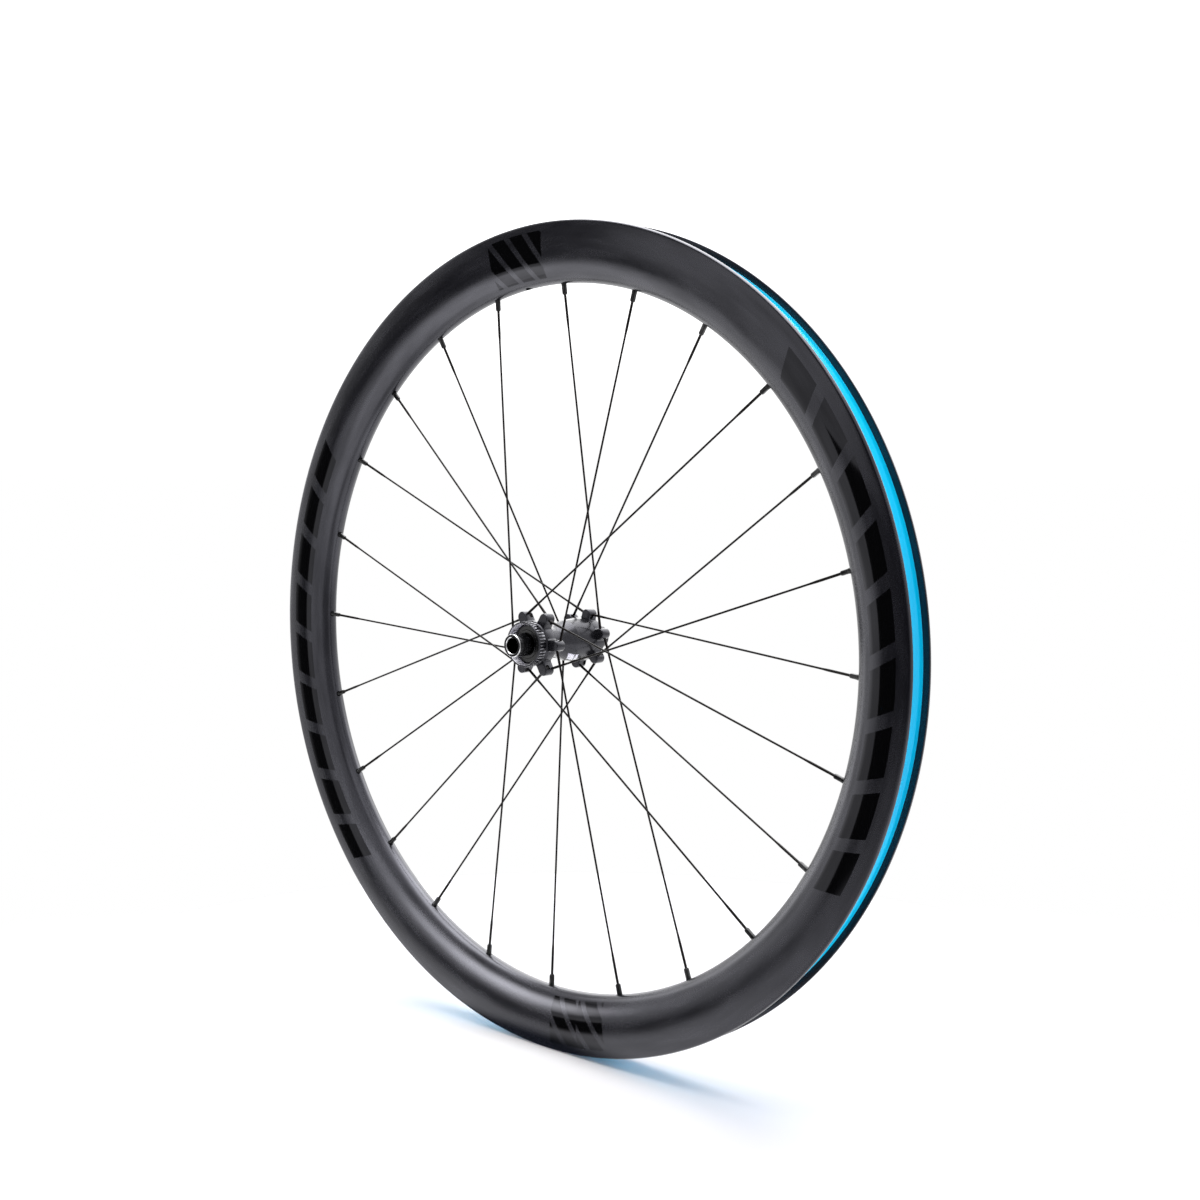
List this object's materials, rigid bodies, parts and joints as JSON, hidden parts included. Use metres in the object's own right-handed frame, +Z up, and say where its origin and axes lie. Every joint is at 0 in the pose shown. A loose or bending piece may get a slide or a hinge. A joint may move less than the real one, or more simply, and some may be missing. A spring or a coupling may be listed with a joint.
{
  "type": "bicycle wheel",
  "caption": "Front road bicycle wheel for a disc brake: deep hollow rim with blue tape, straight-pull spokes and a sealed-bearing hub on a through axle.",
  "frame": {"origin": "centre of the wheel: on the axle's axis, midway between the faces of the end caps and in the rim's middle plane", "axes": "+Y along the axle towards the brake disc side (the bicycle's left), +Z up, +X forward"},
  "size_m": [0.6334, 0.1, 0.6334],
  "materials": {
    "rim_composite": "matte black fibre composite",
    "tape_blue": "glossy blue film",
    "hub_black": "satin dark anodised",
    "cap_black": "gloss black anodised",
    "axle_alloy": "turned",
    "bearing_steel": "ground",
    "spoke_black": "black coated",
    "nipple_black": "black anodised"
  },
  "bodies": {
    "axle": {"axle_tube": "axle_alloy", "bearing_inner_rings": "bearing_steel", "end_caps": "cap_black"},
    "wheel": {"rim": "rim_composite", "rim_tape": "tape_blue", "hub_shell": "hub_black", "bearing_outer_rings": "bearing_steel", "nipples_disc_side": "nipple_black", "nipples_plain_side": "nipple_black", "spoke_disc_01": "spoke_black", "spoke_disc_02": "spoke_black", "spoke_disc_03": "spoke_black", "spoke_disc_04": "spoke_black", "spoke_disc_05": "spoke_black", "spoke_disc_06": "spoke_black", "spoke_disc_07": "spoke_black", "spoke_disc_08": "spoke_black", "spoke_disc_09": "spoke_black", "spoke_disc_10": "spoke_black", "spoke_disc_11": "spoke_black", "spoke_disc_12": "spoke_black", "spoke_plain_01": "spoke_black", "spoke_plain_02": "spoke_black", "spoke_plain_03": "spoke_black", "spoke_plain_04": "spoke_black", "spoke_plain_05": "spoke_black", "spoke_plain_06": "spoke_black", "spoke_plain_07": "spoke_black", "spoke_plain_08": "spoke_black", "spoke_plain_09": "spoke_black", "spoke_plain_10": "spoke_black", "spoke_plain_11": "spoke_black", "spoke_plain_12": "spoke_black"}
  },
  "joints": [
    {"name": "wheel_spin", "type": "hinge", "parent": "axle", "child": "wheel", "pos_m": [0, 0, 0], "axis": [0, 1, 0], "continuous": true}
  ]
}
